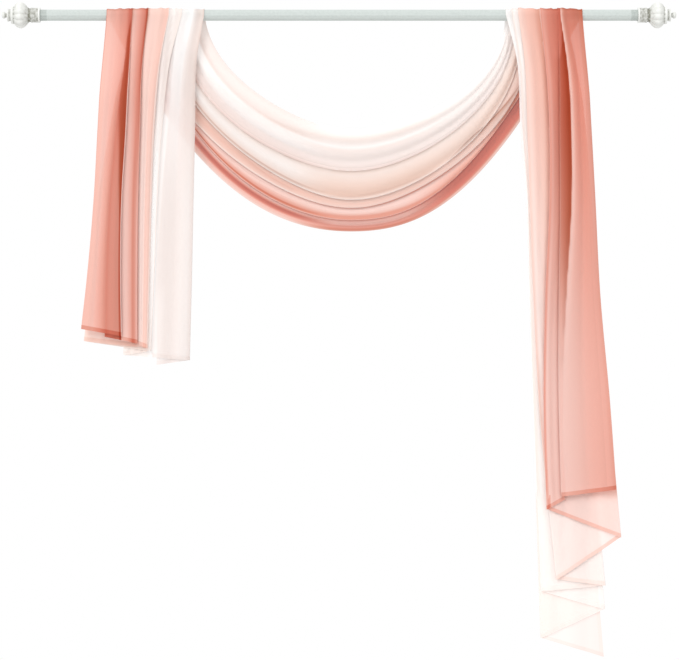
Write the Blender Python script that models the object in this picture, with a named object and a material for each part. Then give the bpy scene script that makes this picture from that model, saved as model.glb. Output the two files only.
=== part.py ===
"""A sheer scarf valance draped over a curtain rod.

The world origin is on the rod's axis, at the middle of the rod. X runs along the rod, Z is up, and the
viewer stands on the -Y side. The scarf is one sheet. Across its width it lies in a back-and-forth stack
of folds; along its length it rises from the left hem in front of the rod, goes over the rod, hangs behind
it in a swag, comes up and over the rod again, and falls in the long right tail.
"""

import bmesh
import bpy
import numpy as np

MM = 0.001

# The rod and its finials
ROD_RADIUS = 14.3 * MM
ROD_FLUTES = 24
FLUTE_DEPTH = 0.35 * MM
SHOWN_ROD_LENGTH = 1518 * MM
SOCKET_DEPTH = 20 * MM
ROD_IN_SOCKET = 18 * MM
SOCKET_GAP = 0.4 * MM
FINIAL_SIDES = 48
BALL_LOBES = 12
LOBE_DEPTH = 0.075

# Turned outline of a finial: distance from its open end, radius. A row marked 1 is on the lobed ball.
FINIAL_OUTLINE = (
    # along, radius, lobed
    (0.0, 19.4, 0),
    (3.6, 19.4, 0),
    (4.8, 18.4, 0),
    (19.0, 18.4, 0),
    (21.5, 19.2, 0),
    (23.0, 18.0, 0),
    (24.2, 17.0, 0),
    (27.5, 17.0, 0),
    (31.5, 21.0, 1),
    (36.0, 26.5, 1),
    (42.5, 31.4, 1),
    (49.5, 33.5, 1),
    (56.5, 32.0, 1),
    (62.5, 27.5, 1),
    (66.5, 21.5, 1),
    (67.8, 22.3, 0),
    (73.0, 22.3, 0),
    (74.5, 14.5, 0),
    (78.5, 14.5, 0),
    (79.0, 16.0, 0),
    (83.0, 16.0, 0),
    (84.5, 5.5, 0),
    (87.6, 5.5, 0),
    (90.0, 8.4, 0),
    (93.5, 8.8, 0),
    (96.5, 6.4, 0),
)
FINIAL_LENGTH = 98 * MM

# The cloth
CLOTH_THICKNESS = 1.0 * MM
ROD_GAP = 0.8 * MM
LAYERS_APART_AT_ROD = 1.5 * MM
LAYERS_APART_IN_TAILS = 5.0 * MM
LAYERS_APART_IN_SWAG = 4.4 * MM
SWAG_MIDDLE_X = 32 * MM
SWAG_ROUNDING = 0.16
SWAG_SWINGS_FORWARD = 18 * MM
BUNCH_OPENS_OVER = 230 * MM
TAIL_WAVE_DEPTH = 7 * MM
TAIL_WAVE_LENGTH = 400 * MM
TAIL_WAVE_LEAN = 0.35
TAIL_WAVE_FULL_AT = 1200 * MM
INNERMOST_RADIUS = ROD_RADIUS + ROD_GAP + CLOTH_THICKNESS / 2

TAIL_ROWS_CROWD_AT_ROD = 1.25
LEFT_TAIL_ROWS = 10
WRAP_ROWS = 7
SWAG_ROWS = 18
RIGHT_TAIL_ROWS = 13

# Each row of the tables below is one line that runs the length of the cloth: the coral selvedge, the outer
# and inner side of the tuck, folds 1 to 7, and the white selvedge. Each x is in mm from the rod's middle.

# Left tail: x at the rod, at four drops below it and at the hem, then the hem's drop.
LEFT_DROPS = (0, 115, 290, 470, 675)
LEFT_TAIL = (
    # rod, 115, 290, 470, 675, hem, hem drop
    (-589, -598, -608, -618, -636, -650, 797),
    (-525, -530, -538, -549, -552, -550, 815),
    (-533, -541, -561, -577, -587, -589, 817),
    (-485, -498, -504, -509, -511, -511, 833),
    (-511, -516, -521, -522, -521, -524, 831),
    (-431, -453, -469, -476, -481, -485, 845),
    (-480, -536, -577, -607, -627, -643, 828),
    (-399, -429, -450, -462, -470, -478, 853),
    (-442, -480, -505, -523, -536, -544, 863),
    (-342, -362, -367, -371, -375, -380, 876),
    (-409, -419, -434, -450, -460, -462, 888),
)

# Swag: the line's drop at the middle, then, for its left and its right half, how steeply it leaves the rod
# (0 as a plain curve, 1 straight down) and the power of that curve.
SWAG = (
    # middle drop, left steepness, left power, right steepness, right power
    (548, 0.00, 2.30, -0.20, 2.60),
    (500, 0.20, 2.10, -0.10, 2.45),
    (509, 0.15, 2.10, -0.15, 2.45),
    (368, 0.35, 2.00, 0.35, 2.00),
    (518, 0.40, 1.90, -0.30, 2.70),
    (340, 0.60, 1.80, 0.60, 1.80),
    (487, 0.90, 1.40, 1.00, 1.40),
    (312, 0.85, 1.60, 0.85, 1.60),
    (467, 1.00, 1.30, 1.00, 1.50),
    (293, 0.85, 1.40, 1.00, 1.55),
    (396, 1.00, 1.50, 1.00, 1.50),
)

# Right tail: x at the rod, at five drops below it and at the hem, then the hem's drop.
RIGHT_DROPS = (0, 115, 290, 470, 700, 975)
RIGHT_TAIL = (
    # rod, 115, 290, 470, 700, 975, hem, hem drop
    (617, 626, 636, 646, 658, 682, 698, 1201),
    (555, 558, 558, 559, 556, 556, 562, 1219),
    (561, 577, 587, 588, 575, 562, 568, 1228),
    (511, 523, 533, 533, 523, 519, 526, 1252),
    (574, 597, 620, 635, 653, 677, 710, 1323),
    (455, 471, 478, 484, 492, 507, 551, 1429),
    (500, 542, 566, 579, 594, 622, 671, 1445),
    (440, 458, 467, 480, 485, 495, 513, 1460),
    (470, 521, 550, 566, 587, 617, 671, 1506),
    (423, 452, 462, 475, 483, 493, 512, 1579),
    (450, 512, 545, 561, 582, 612, 671, 1628),
)

# How many layers the stack sinks at the rod where fewer lie beneath: x in mm, layers.
LEFT_SINK = ((-589, 8.4), (-530, 5.6), (-511, 4.0), (-480, 2.3), (-442, 0.7), (-409, 0.0))
RIGHT_SINK = ((450, 0.0), (470, 0.9), (500, 2.9), (535, 4.2), (574, 5.0), (617, 8.5))

# How many points each panel has between its two fold lines
PANEL_POINTS = (1, 0, 1, 2, 2, 2, 2, 2, 2, 2)

COLOURS = {
    "scarf": (0.90, 0.62, 0.52, 1.0),
    "rod": (0.68, 0.74, 0.71, 1.0),
    "finial": (0.80, 0.79, 0.75, 1.0),
}


def clear_scene():
    for obj in list(bpy.data.objects):
        bpy.data.objects.remove(obj, do_unlink=True)


def material(name, colour, roughness, metallic=0.0):
    made = bpy.data.materials.new(name)
    made.use_nodes = True
    shader = made.node_tree.nodes["Principled BSDF"]
    shader.inputs["Base Color"].default_value = colour
    shader.inputs["Roughness"].default_value = roughness
    shader.inputs["Metallic"].default_value = metallic
    return made


def add_object(name, points, faces, finish, sharp_angle=0.6):
    mesh = bpy.data.meshes.new(name)
    mesh.from_pydata([tuple(p) for p in points], [], [tuple(int(i) for i in f) for f in faces])
    shape = bmesh.new()
    shape.from_mesh(mesh)
    bmesh.ops.recalc_face_normals(shape, faces=shape.faces)
    shape.to_mesh(mesh)
    shape.free()
    mesh.shade_smooth()
    mesh.set_sharp_from_angle(angle=sharp_angle)
    mesh.materials.append(finish)
    obj = bpy.data.objects.new(name, mesh)
    bpy.context.scene.collection.objects.link(obj)
    return obj


def ease(t):
    """Smooth step from 0 to 1."""
    t = np.clip(t, 0.0, 1.0)
    return t * t * (3.0 - 2.0 * t)


def through(stations, values, at):
    """A smooth curve through the stations: cubic between each two, with the mean slope at each."""
    stations = np.asarray(stations, float)
    values = np.asarray(values, float)
    slopes = np.gradient(values, stations)
    k = np.clip(np.searchsorted(stations, at) - 1, 0, len(stations) - 2)
    span = stations[k + 1] - stations[k]
    t = np.clip((at - stations[k]) / span, 0.0, 1.0)
    return (
        (2 * t**3 - 3 * t**2 + 1) * values[k]
        + (t**3 - 2 * t**2 + t) * span * slopes[k]
        + (3 * t**2 - 2 * t**3) * values[k + 1]
        + (t**3 - t**2) * span * slopes[k + 1]
    )


def tail_lines(table, drops, shares):
    """x and z of every fold line at each share of its own length below the rod."""
    x = np.empty((len(shares), len(table)))
    z = np.empty_like(x)
    for i, row in enumerate(table):
        stations = np.array(drops + (row[-1],)) * MM
        drop = shares * row[-1] * MM
        x[:, i] = through(stations, np.array(row[:-1]) * MM, drop)
        z[:, i] = -drop
    return x, z


def swag_lines(turns):
    """x and z of every fold line where turns goes from -1 at the left bunch to 1 at the right one.

    x is a mix of turns itself and a quarter sine of it, which leaves the rod straight down; the drop is
    that of the middle times 1 less a power of the turn, rounded at the middle.
    """
    middle, left_steep, left_power, right_steep, right_power = (np.array(column) for column in zip(*SWAG))
    left = np.array([row[0] for row in LEFT_TAIL]) * MM
    right = np.array([row[0] for row in RIGHT_TAIL]) * MM
    q = turns[:, None]
    steep = np.where(q < 0, left_steep, right_steep)
    power = np.where(q < 0, left_power, right_power)
    reach = (1 - steep) * q + steep * np.sin(np.pi / 2 * q)
    half = np.where(q < 0, SWAG_MIDDLE_X - left, right - SWAG_MIDDLE_X)
    low = SWAG_ROUNDING**power
    rise = ((q * q + SWAG_ROUNDING**2) ** (power / 2) - low) / ((1 + SWAG_ROUNDING**2) ** (power / 2) - low)
    return SWAG_MIDDLE_X + half * reach, -middle * MM * (1 - rise)


def rows_of_cloth():
    """Everything that changes along the cloth, one entry for each row across it."""
    left_shares = np.linspace(1, 0, LEFT_TAIL_ROWS + 1) ** TAIL_ROWS_CROWD_AT_ROD
    right_shares = np.linspace(0, 1, RIGHT_TAIL_ROWS + 1) ** TAIL_ROWS_CROWD_AT_ROD
    turns = np.linspace(-1, 1, SWAG_ROWS + 1)
    angles = np.linspace(0, np.pi, WRAP_ROWS + 1)
    left_x, left_z = tail_lines(LEFT_TAIL, LEFT_DROPS, left_shares)
    swag_x, swag_z = swag_lines(turns)
    right_x, right_z = tail_lines(RIGHT_TAIL, RIGHT_DROPS, right_shares)
    rows = []
    for k in range(LEFT_TAIL_ROWS):
        rows.append(("tail", left_x[k], left_z[k], 0.0, -1))
    for angle in angles:
        rows.append(("wrap", left_x[-1], left_z[-1], angle, -1))
    for k in range(1, SWAG_ROWS):
        rows.append(("swag", swag_x[k], swag_z[k], turns[k], -1 if turns[k] < 0 else 1))
    for angle in angles[::-1]:
        rows.append(("wrap", right_x[0], right_z[0], angle, 1))
    for k in range(1, RIGHT_TAIL_ROWS + 1):
        rows.append(("tail", right_x[k], right_z[k], 0.0, 1))
    return rows


def layers_apart(kind, z):
    """The gap from one layer to the next, and how much of the stack's sink at the rod is left there."""
    opened = ease(-z / BUNCH_OPENS_OVER)
    wide = LAYERS_APART_IN_SWAG if kind == "swag" else LAYERS_APART_IN_TAILS
    return LAYERS_APART_AT_ROD + (wide - LAYERS_APART_AT_ROD) * opened, 1 - opened


def place(kind, x, z, level, turn, side):
    """World points of a row, from their place in the front view and the layer that each lies in.

    How far a layer lies off the rod depends on its level and its place in the front view alone, so two
    layers at one place never meet.
    """
    gap, sunk = layers_apart(kind, z)
    sink_x, sink = (np.array(column) for column in zip(*(LEFT_SINK if side < 0 else RIGHT_SINK)))
    radius = INNERMOST_RADIUS + gap * (level - sunk * np.interp(x, sink_x * MM, sink))
    if kind == "wrap":
        return np.stack([x, -radius * np.cos(turn), radius * np.sin(turn)], axis=1)
    if kind == "swag":
        return np.stack([x, radius - SWAG_SWINGS_FORWARD * ease(-z / BUNCH_OPENS_OVER), z], axis=1)
    across = (x - TAIL_WAVE_LEAN * z) / TAIL_WAVE_LENGTH
    wave = TAIL_WAVE_DEPTH * ease(-z / TAIL_WAVE_FULL_AT) * np.sin(2 * np.pi * across)
    return np.stack([x, wave - radius, z], axis=1)


def row_points(kind, x, z, turn, side):
    """The middle line of one row across the cloth: three points at each turn, and a few in each panel.

    A panel lies in one layer, 0 for the innermost and one more for each panel outwards.
    """
    lines = np.stack([x, z], axis=1)
    outermost = len(PANEL_POINTS) - 1
    points, layers = [lines[0]], [outermost]
    for panel, inner in enumerate(PANEL_POINTS):
        level = outermost - panel
        for k in range(inner):
            points.append(lines[panel] + (k + 1) / (inner + 1) * (lines[panel + 1] - lines[panel]))
            layers.append(level)
        if level == 0:
            break
        fold = panel + 1
        arriving = lines[fold] - lines[fold - 1]
        leaving = lines[fold] - lines[fold + 1]
        outward = arriving / np.linalg.norm(arriving) + leaving / np.linalg.norm(leaving)
        outward *= layers_apart(kind, lines[fold][1])[0] / 2 / np.linalg.norm(outward)
        points += [lines[fold], lines[fold] + outward, lines[fold]]
        layers += [level, level - 0.5, level - 1]
    points = np.array(points + [lines[-1]])
    layers = np.array(layers + [0])
    return place(kind, points[:, 0], points[:, 1], layers, turn, side)


def cloth_sheet():
    """The cloth's middle surface, as rows along its length by columns across its width."""
    return np.array([row_points(*row) for row in rows_of_cloth()])


def thickened(grid, thickness):
    """A closed sheet around a grid of points: each point goes half the thickness to either side."""
    along = np.gradient(grid, axis=0)
    across = np.empty_like(grid)
    across[:, 1:-1] = grid[:, 2:] - grid[:, :-2]
    across[:, 0] = grid[:, 1] - grid[:, 0]
    across[:, -1] = grid[:, -1] - grid[:, -2]
    normal = np.cross(along, across)
    normal /= np.linalg.norm(normal, axis=2, keepdims=True)
    rows, columns = grid.shape[:2]
    sides = np.concatenate([grid + normal * thickness / 2, grid - normal * thickness / 2])
    index = np.arange(2 * rows * columns).reshape(2 * rows, columns)
    top, bottom = index[:rows], index[rows:]

    def skin(index):
        a, b, c, d = index[:-1, :-1], index[1:, :-1], index[1:, 1:], index[:-1, 1:]
        return np.concatenate(
            [np.stack([a, b, c], axis=2).reshape(-1, 3), np.stack([a, c, d], axis=2).reshape(-1, 3)]
        )

    def band(first, second):
        a, b, c, d = first[:-1], first[1:], second[1:], second[:-1]
        return np.concatenate([np.stack([a, b, c], axis=1), np.stack([a, c, d], axis=1)])

    faces = np.concatenate(
        [
            skin(top),
            skin(bottom)[:, ::-1],
            band(top[:, 0], bottom[:, 0])[:, ::-1],
            band(top[:, -1], bottom[:, -1]),
            band(top[0], bottom[0]),
            band(top[-1], bottom[-1])[:, ::-1],
        ]
    )
    return sides.reshape(-1, 3), faces


def make_scarf():
    points, faces = thickened(cloth_sheet(), CLOTH_THICKNESS)
    add_object("scarf", points, faces, material("Voile", COLOURS["scarf"], 0.8))


def make_rod():
    """A fluted bar: its section goes out and in once for each flute."""
    sides = 2 * ROD_FLUTES
    turn = 2 * np.pi * np.arange(sides) / sides
    radius = ROD_RADIUS - FLUTE_DEPTH * (np.arange(sides) % 2)
    half = SHOWN_ROD_LENGTH / 2 + ROD_IN_SOCKET
    ring = np.stack([np.full(sides, -half), radius * np.cos(turn), radius * np.sin(turn)], axis=1)
    points = np.concatenate([ring, ring * [-1, 1, 1]])
    near = np.arange(sides)
    after = (near + 1) % sides
    faces = [tuple(near), tuple(near + sides)]
    faces += list(zip(near, after, after + sides, near + sides))
    add_object("rod", points, faces, material("Rod", COLOURS["rod"], 0.35, 0.4))


def make_finial(name, side, finish):
    """A turned body with a blind socket for the rod; the ball's radius dips between its lobes."""
    socket = ROD_RADIUS + SOCKET_GAP
    outline = [(SOCKET_DEPTH, socket, 0), (0.0, socket, 0)]
    outline += [(along * MM, radius * MM, lobed) for along, radius, lobed in FINIAL_OUTLINE]
    turn = 2 * np.pi * np.arange(FINIAL_SIDES) / FINIAL_SIDES
    dip = 1 - LOBE_DEPTH * (1 - np.abs(np.sin(turn * BALL_LOBES / 2)))
    rings = []
    for along, radius, lobed in outline:
        r = radius * (dip if lobed else np.ones(FINIAL_SIDES))
        x = side * (SHOWN_ROD_LENGTH / 2 + along)
        rings.append(np.stack([np.full(FINIAL_SIDES, x), r * np.cos(turn), r * np.sin(turn)], axis=1))
    count = len(rings)
    tip = (side * (SHOWN_ROD_LENGTH / 2 + FINIAL_LENGTH), 0.0, 0.0)
    points = list(np.concatenate(rings)) + [tip]
    near = np.arange(FINIAL_SIDES)
    after = (near + 1) % FINIAL_SIDES
    faces = [tuple(near)]
    for k in range(count - 1):
        a, b = k * FINIAL_SIDES, (k + 1) * FINIAL_SIDES
        faces += list(zip(near + a, after + a, after + b, near + b))
    outer = (count - 1) * FINIAL_SIDES
    faces += [(outer + i, outer + j, len(points) - 1) for i, j in zip(near, after)]
    add_object(name, points, faces, finish)


def main():
    clear_scene()
    make_rod()
    finish = material("Finial", COLOURS["finial"], 0.5)
    make_finial("finial_left", -1, finish)
    make_finial("finial_right", 1, finish)
    make_scarf()


main()
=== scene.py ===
"""The looks of a sheer scarf valance draped over a curtain rod.

The row frame is the part's: the origin on the rod's axis at its middle, X along the rod, Z up, the viewer
on the -Y side. All sizes are in metres unless a table says millimetres.
"""

from collections import namedtuple

import bpy
import numpy as np
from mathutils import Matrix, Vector


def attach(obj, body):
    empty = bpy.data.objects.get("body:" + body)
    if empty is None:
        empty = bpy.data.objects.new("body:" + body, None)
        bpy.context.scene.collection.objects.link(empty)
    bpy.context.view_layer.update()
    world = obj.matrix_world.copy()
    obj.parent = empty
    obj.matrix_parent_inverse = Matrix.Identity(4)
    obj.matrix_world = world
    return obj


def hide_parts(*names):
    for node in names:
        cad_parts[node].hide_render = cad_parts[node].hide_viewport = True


bl_info = {
    "name": "Scarf valance",
    "version": (1, 0, 0),
    "blender": (4, 5, 0),
    "location": "View3D > Sidebar > Scarf valance",
    "description": "A sheer ombre scarf over a fluted rod with turned finials",
    "category": "Object",
}

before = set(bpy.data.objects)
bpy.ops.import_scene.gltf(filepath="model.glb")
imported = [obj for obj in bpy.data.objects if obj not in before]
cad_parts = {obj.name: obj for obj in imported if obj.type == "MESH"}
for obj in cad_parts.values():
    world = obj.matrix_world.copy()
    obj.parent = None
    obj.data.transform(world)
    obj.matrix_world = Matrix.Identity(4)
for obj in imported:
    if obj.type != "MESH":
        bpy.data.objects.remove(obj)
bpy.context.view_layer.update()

MM = 0.001

# The flat cloth, and the share of its width at which each fold line lies and that a fold's turn takes
FLAT_WIDTH = 1.32
FLAT_LENGTH = 3.66
FOLD_SHARES = (0.0, 0.046, 0.07, 0.131, 0.276, 0.424, 0.519, 0.633, 0.754, 0.88, 1.0)
TURN_SHARE = 0.0004

# Fold lines of the left tail, coral selvedge first: x at the rod, at four drops and at the hem, hem drop
LEFT_DROPS = (0, 115, 290, 470, 675)
LEFT_TAIL = (
    (-589, -598, -608, -618, -636, -650, 797),
    (-525, -530, -538, -549, -552, -550, 815),
    (-533, -541, -561, -577, -587, -589, 817),
    (-485, -498, -504, -509, -511, -511, 833),
    (-511, -516, -521, -522, -521, -524, 831),
    (-431, -453, -469, -476, -481, -485, 845),
    (-480, -536, -577, -607, -627, -643, 828),
    (-399, -429, -450, -462, -470, -478, 853),
    (-442, -480, -505, -523, -536, -544, 863),
    (-342, -362, -367, -371, -375, -380, 876),
    (-409, -419, -434, -450, -460, -462, 888),
)

# Fold lines of the swag: drop at the middle, then steepness at the rod and power of the curve, left and
# right
SWAG = (
    (548, 0, 2.3, -0.2, 2.6),
    (500, 0.2, 2.1, -0.1, 2.45),
    (509, 0.15, 2.1, -0.15, 2.45),
    (368, 0.35, 2, 0.35, 2),
    (518, 0.4, 1.9, -0.3, 2.7),
    (340, 0.6, 1.8, 0.6, 1.8),
    (487, 0.9, 1.4, 1, 1.4),
    (312, 0.85, 1.6, 0.85, 1.6),
    (467, 1, 1.3, 1, 1.5),
    (293, 0.85, 1.4, 1, 1.55),
    (396, 1, 1.5, 1, 1.5),
)

# Fold lines of the right tail, as for the left
RIGHT_DROPS = (0, 115, 290, 470, 700, 975)
RIGHT_TAIL = (
    (617, 626, 636, 646, 658, 682, 698, 1201),
    (555, 558, 558, 559, 556, 556, 562, 1219),
    (561, 577, 587, 588, 575, 562, 568, 1228),
    (511, 523, 533, 533, 523, 519, 526, 1252),
    (574, 597, 620, 635, 653, 677, 710, 1323),
    (455, 471, 478, 484, 492, 507, 551, 1429),
    (500, 542, 566, 579, 594, 622, 671, 1445),
    (440, 458, 467, 480, 485, 495, 513, 1460),
    (470, 521, 550, 566, 587, 617, 671, 1506),
    (423, 452, 462, 475, 483, 493, 512, 1579),
    (450, 512, 545, 561, 582, 612, 671, 1628),
)

# How many layers the stack sinks at the rod where fewer lie beneath: x in mm, layers
LEFT_SINK = ((-589, 8.4), (-530, 5.6), (-511, 4), (-480, 2.3), (-442, 0.7), (-409, 0))
RIGHT_SINK = ((450, 0), (470, 0.9), (500, 2.9), (535, 4.2), (574, 5), (617, 8.5))

# The lines that show from the front or through the outer layer, side by side
LEFT_SHOWN = (0, 2, 1, 3, 5, 7, 9)
RIGHT_SHOWN = (9, 7, 5, 3, 1, 2, 0)
SWAG_SHOWN = (9, 10, 8, 6, 4, 0)

SWAG_MIDDLE_X = 32 * MM
SWAG_ROUNDING = 0.16
SWAG_SWINGS_FORWARD = 18 * MM
BUNCH_OPENS_OVER = 230 * MM
TAIL_WAVE_DEPTH = 7 * MM
TAIL_WAVE_LENGTH = 400 * MM
TAIL_WAVE_FULL_AT = 1200 * MM
TAIL_WAVE_LEAN = 0.35
ROWS_CROWD_AT_ROD = 1.25
# Curves between two shown lines of the swag, and points along each, to look up places in
CURVES_PER_BAND = 12
POINTS_PER_CURVE = 241
TINY = 1e-6

# Creases: place among the shown lines, height in mm of the roll that ends there.
# A place between two whole numbers is a crease inside a panel.
SWAG_ROLLS = ((0, 0), (0.36, 6), (0.76, 8), (1, 4), (1.9, 7), (3, 4), (3.9, 5), (4.35, 4), (5, 4))
LEFT_ROLLS = (
    (0, 0), (0.5, 4), (1, 4), (2, 4), (2.5, 4), (3, 4), (3.5, 4), (4, 5), (5, 5), (5.5, 4), (6, 6),
)
RIGHT_ROLLS = (
    (0, 0), (1, 4), (2, 4), (2.5, 5), (3, 5), (3.5, 4), (4, 5), (4.92, 4), (5.45, 5), (6, 7),
)
# A roll is at most this share of its width in height, and leans by the power of its place
ROLL_MOST_SHARE = 0.30
ROLL_LEAN = 1.2
ROLLS_FULL_AT = 150 * MM
# Fine gathers at the rod: height, most share of a band, and share lost where the rolls are full. Then each
# wave's number in a band, phase and share of the height.
GATHER_HEIGHT = 0.9 * MM
GATHER_MOST_SHARE = 0.06
GATHERS_LOST = 0.5
GATHERS = ((2.0, 0.6, 1.0), (3.3, 2.0, 0.5))
SWAG_GATHERS_END = 100 * MM

# Painted light and shade of the folds: place among the shown lines, power of the cloth's colour, which
# deepens it where layers lie behind and paints the folds' shade and light, and share of the painted shade,
# which is brown on the coral and grey on the white
LEFT_AT_ROD = (
    (0, 0.8, 0.34), (0.05, 0.5, 0.06), (0.5, 0.66, 0), (0.9, 0.84, 0.05), (1.02, 1, 0.1), (1.25, 1.1, 0.12),
    (1.85, 1.2, 0.15), (1.99, 1.2, 0.2), (2.01, 0.45, 0), (2.1, 0.45, 0), (2.5, 0.68, 0.02), (2.8, 0.9, 0.1),
    (2.9, 1, 0.36), (3, 1.2, 0.8), (3.03, 0.5, 0.3), (3.1, 0.55, 0), (3.6, 0.72, 0.02), (3.95, 0.95, 0.06),
    (4.01, 0.3, 0), (4.3, 0.35, 0), (4.8, 0.5, 0.02), (4.97, 0.6, 0), (5.03, 0.3, 0), (5.5, 0.05, 0),
    (5.58, 0.5, 0.12), (5.7, 0.7, 0.28), (5.8, 1, 0.22), (5.9, 1.1, 0.14), (6, 1.4, 0.24),
)
LEFT_AT_HEM = (
    (0, 0.5, 0.16), (0.45, 0.48, 0), (0.8, 0.7, 0.03), (1.05, 0.85, 0.18), (1.25, 0.78, 0.16),
    (1.85, 0.76, 0.22), (1.93, 1.1, 0.7), (2, 1.1, 0.85), (2.02, 0.34, 0), (2.4, 0.42, 0), (2.62, 0.6, 0.05),
    (2.76, 0.8, 0.26), (2.9, 0.7, 0.14), (3, 0.46, 0.04), (3.04, 0.4, 0), (3.55, 0.46, 0), (3.62, 0.75, 0.04),
    (3.84, 0.8, 0.05), (3.9, 0.85, 0.1), (4.06, 0.2, 0), (5, 0.15, 0), (5.05, 0.6, 0.24), (5.16, 0.5, 0.2),
    (5.35, 0.6, 0.34), (5.52, 0.6, 0.34), (5.7, 0.55, 0.26), (5.9, 0.5, 0.26), (6, 0.7, 0.36),
)
RIGHT_AT_ROD = (
    (0, 0.3, 0), (0.5, 0.2, 0), (0.95, 0.6, 0.02), (1.05, 0.2, 0), (1.6, 0.4, 0), (1.97, 0.6, 0.03),
    (2.06, 0.75, 0), (2.35, 1, 0.05), (2.7, 1.1, 0.1), (2.88, 1.2, 0.34), (2.96, 1.2, 0.42), (3, 0.5, 0),
    (3.1, 0.66, 0.02), (3.4, 0.9, 0.12), (3.8, 1, 0.24), (4, 1.1, 0.24), (4.4, 1.2, 0.24), (4.9, 1.2, 0.26),
    (4.94, 0.4, 0), (5.04, 0.42, 0), (5.16, 0.76, 0.08), (5.3, 0.86, 0.12), (5.6, 0.9, 0.18),
    (5.85, 0.8, 0.22), (6, 0.7, 0.5),
)
RIGHT_AT_HEM = (
    (0, 0.15, 0), (1, 0.2, 0), (1.97, 0.3, 0), (2.03, 0.25, 0), (2.5, 0.35, 0), (2.9, 0.55, 0),
    (3.02, 0.34, 0), (3.4, 0.4, 0), (4, 0.4, 0), (4.98, 0.42, 0), (5.03, 0.38, 0), (5.3, 0.44, 0),
    (5.6, 0.55, 0.03), (5.9, 0.6, 0.06), (6, 0.66, 0.28),
)
SWAG_AT_LEFT = (
    (0, 1, 0.14), (0.1, 0.9, 0.08), (0.3, 1, 0.1), (0.36, 1.3, 0.16), (0.42, 0.5, 0), (0.7, 0.4, 0),
    (0.76, 0.9, 0.04), (0.92, 1.3, 0.05), (1, 1.6, 0.2), (1.04, 1.2, 0.04), (1.2, 0.7, 0), (1.45, 0.5, 0),
    (1.72, 0.9, 0.02), (1.85, 1.5, 0.04), (1.9, 2.3, 0.66), (1.96, 1.5, 0.4), (2.05, 1.1, 0.12),
    (2.5, 1.5, 0.12), (2.9, 1.1, 0.02), (3.05, 0.4, 0), (3.45, 0.5, 0), (3.78, 0.95, 0.14), (3.86, 1.3, 0.56),
    (3.96, 1.2, 0.34), (4.02, 0.6, 0), (4.14, 0.4, 0), (4.24, 0.9, 0.06), (4.34, 1.4, 0.46), (4.5, 1.3, 0.16),
    (4.66, 0.6, 0.02), (4.8, 0.4, 0.16), (5, 0.2, 0.16),
)
SWAG_IN_MIDDLE = (
    (0, 0.4, 0), (0.1, 0.7, 0.02), (0.25, 0.9, 0.05), (0.36, 0.5, 0), (0.43, 0.3, 0), (0.5, 0.9, 0.05),
    (0.68, 0.8, 0), (0.85, 0.9, 0), (0.97, 1.3, 0), (1.02, 1.6, 0), (1.18, 1.2, 0), (1.6, 2.2, 0),
    (1.78, 2.6, 0.02), (1.9, 2.7, 0.08), (1.97, 1.6, 0), (2.03, 1.7, 0), (2.14, 0.9, 0), (2.6, 1.3, 0),
    (2.95, 1, 0), (3.03, 1.3, 0), (3.12, 0.46, 0), (3.42, 0.42, 0), (3.62, 0.6, 0.03), (3.76, 1, 0.14),
    (4, 1, 0.14), (4.07, 0.9, 0.1), (4.18, 0.58, 0), (4.44, 0.56, 0), (4.58, 0.8, 0.1), (4.74, 0.9, 0.16),
    (4.86, 0.8, 0.5), (5, 0.4, 0.4),
)
SWAG_AT_RIGHT = (
    (0, 0.3, 0), (0.5, 0.6, 0), (0.96, 0.9, 0), (1.02, 1.3, 0.02), (1.1, 1.1, 0), (1.5, 1.6, 0),
    (1.8, 2.1, 0.02), (1.96, 1.9, 0.02), (2.03, 1.6, 0), (2.12, 0.9, 0), (2.6, 1.1, 0), (2.95, 0.9, 0),
    (3.03, 1.1, 0), (3.1, 0.5, 0), (3.3, 0.75, 0), (3.6, 0.95, 0.03), (3.92, 1.1, 0.08), (4.03, 0.9, 0.04),
    (4.08, 1.5, 0.66), (4.16, 1.5, 0.14), (4.5, 1.4, 0.08), (4.7, 1.4, 0.12), (4.8, 0.9, 0.26),
    (4.88, 0.4, 0.2), (5, 0.25, 0.26),
)

# Where one table of the swag turns into the next: x, and over how much of it
SWAG_TURNS = ((-140 * MM, 140 * MM), (160 * MM, 160 * MM))

# Creases that cross the folds of the swag, drawn only as painted shade: x in mm and place along each,
# share of the shade below it, its reach in mm
SWAG_CREASES = (
    ((258, 2), (358, 1.95), (408, 2.4), (480, 3.15), 1, 5),
    ((-95, 2.45), (-48, 2.1), (55, 1.88), (270, 1.97), 0.2, 8),
    ((-320, 2.02), (-252, 2.25), (-188, 2.5), (-95, 2.62), 0.2, 6),
    ((-325, 4.22), (-250, 4.08), (-150, 4.02), (-30, 4.1), 0.3, 4),
    ((-110, 4.38), (-10, 4.52), (100, 4.56), (240, 4.42), 0.3, 5),
)
# A crease eases in and out over these lengths. Distances from it are counted in reaches, up to the last.
CREASE_EASES_IN = 80 * MM
CREASE_EASES_OUT = 50 * MM
CREASE_NARROWEST_BAND = 3 * MM
CREASE_FAR = 8.0
NO_CREASE = (CREASE_FAR, 0.0)

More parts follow.
